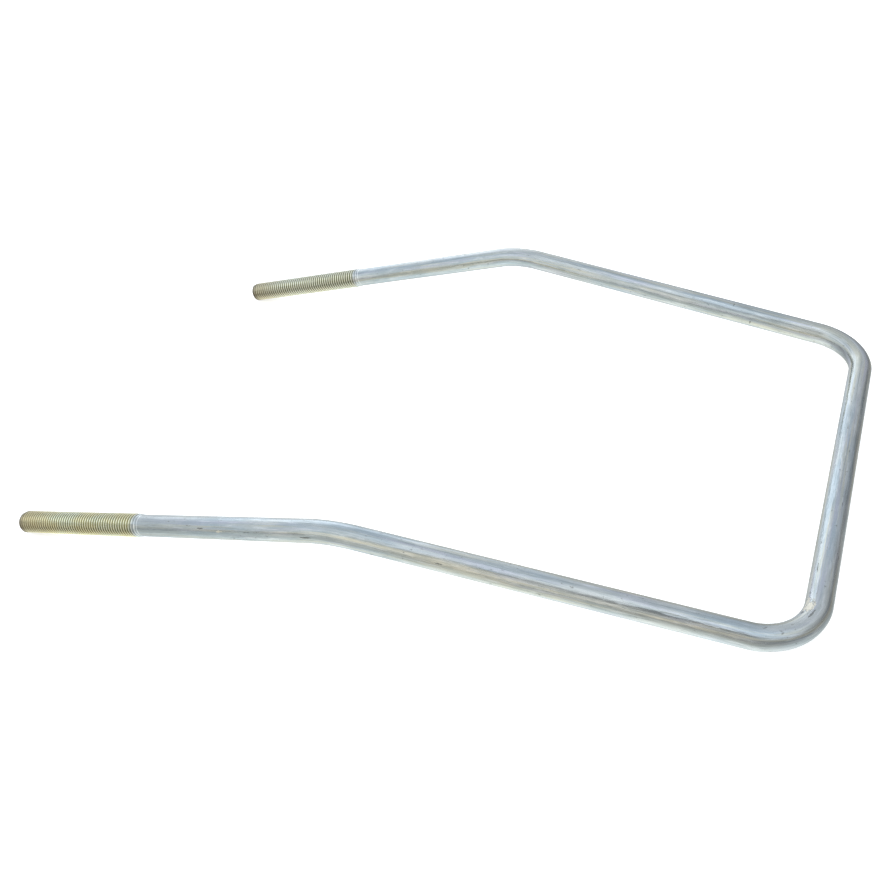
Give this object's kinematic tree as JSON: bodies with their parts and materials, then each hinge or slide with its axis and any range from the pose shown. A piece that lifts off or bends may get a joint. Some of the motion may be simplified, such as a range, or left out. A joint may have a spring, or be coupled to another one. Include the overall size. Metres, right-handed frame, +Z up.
{
  "type": "u-bolt",
  "caption": "Long cranked U-bolt: one bent rod with a straight bridge, splayed legs, down-turned parallel tails and a thread on each tail.",
  "frame": {"origin": "on the bench under the middle of the bolt's bounding box, as it lies on its bridge and its two tips", "axes": "+X towards the closed end (the bridge), +Y across the bolt, +Z up; the XZ plane runs midway between the two legs"},
  "size_m": [0.3374, 0.2072, 0.0388],
  "materials": {
    "zinc_plated_steel": "bright zinc plate, satin with drawn lines, yellowish on the rolled threads"
  },
  "bodies": {
    "root": {"u_bolt_rod": "zinc_plated_steel"}
  },
  "joints": []
}
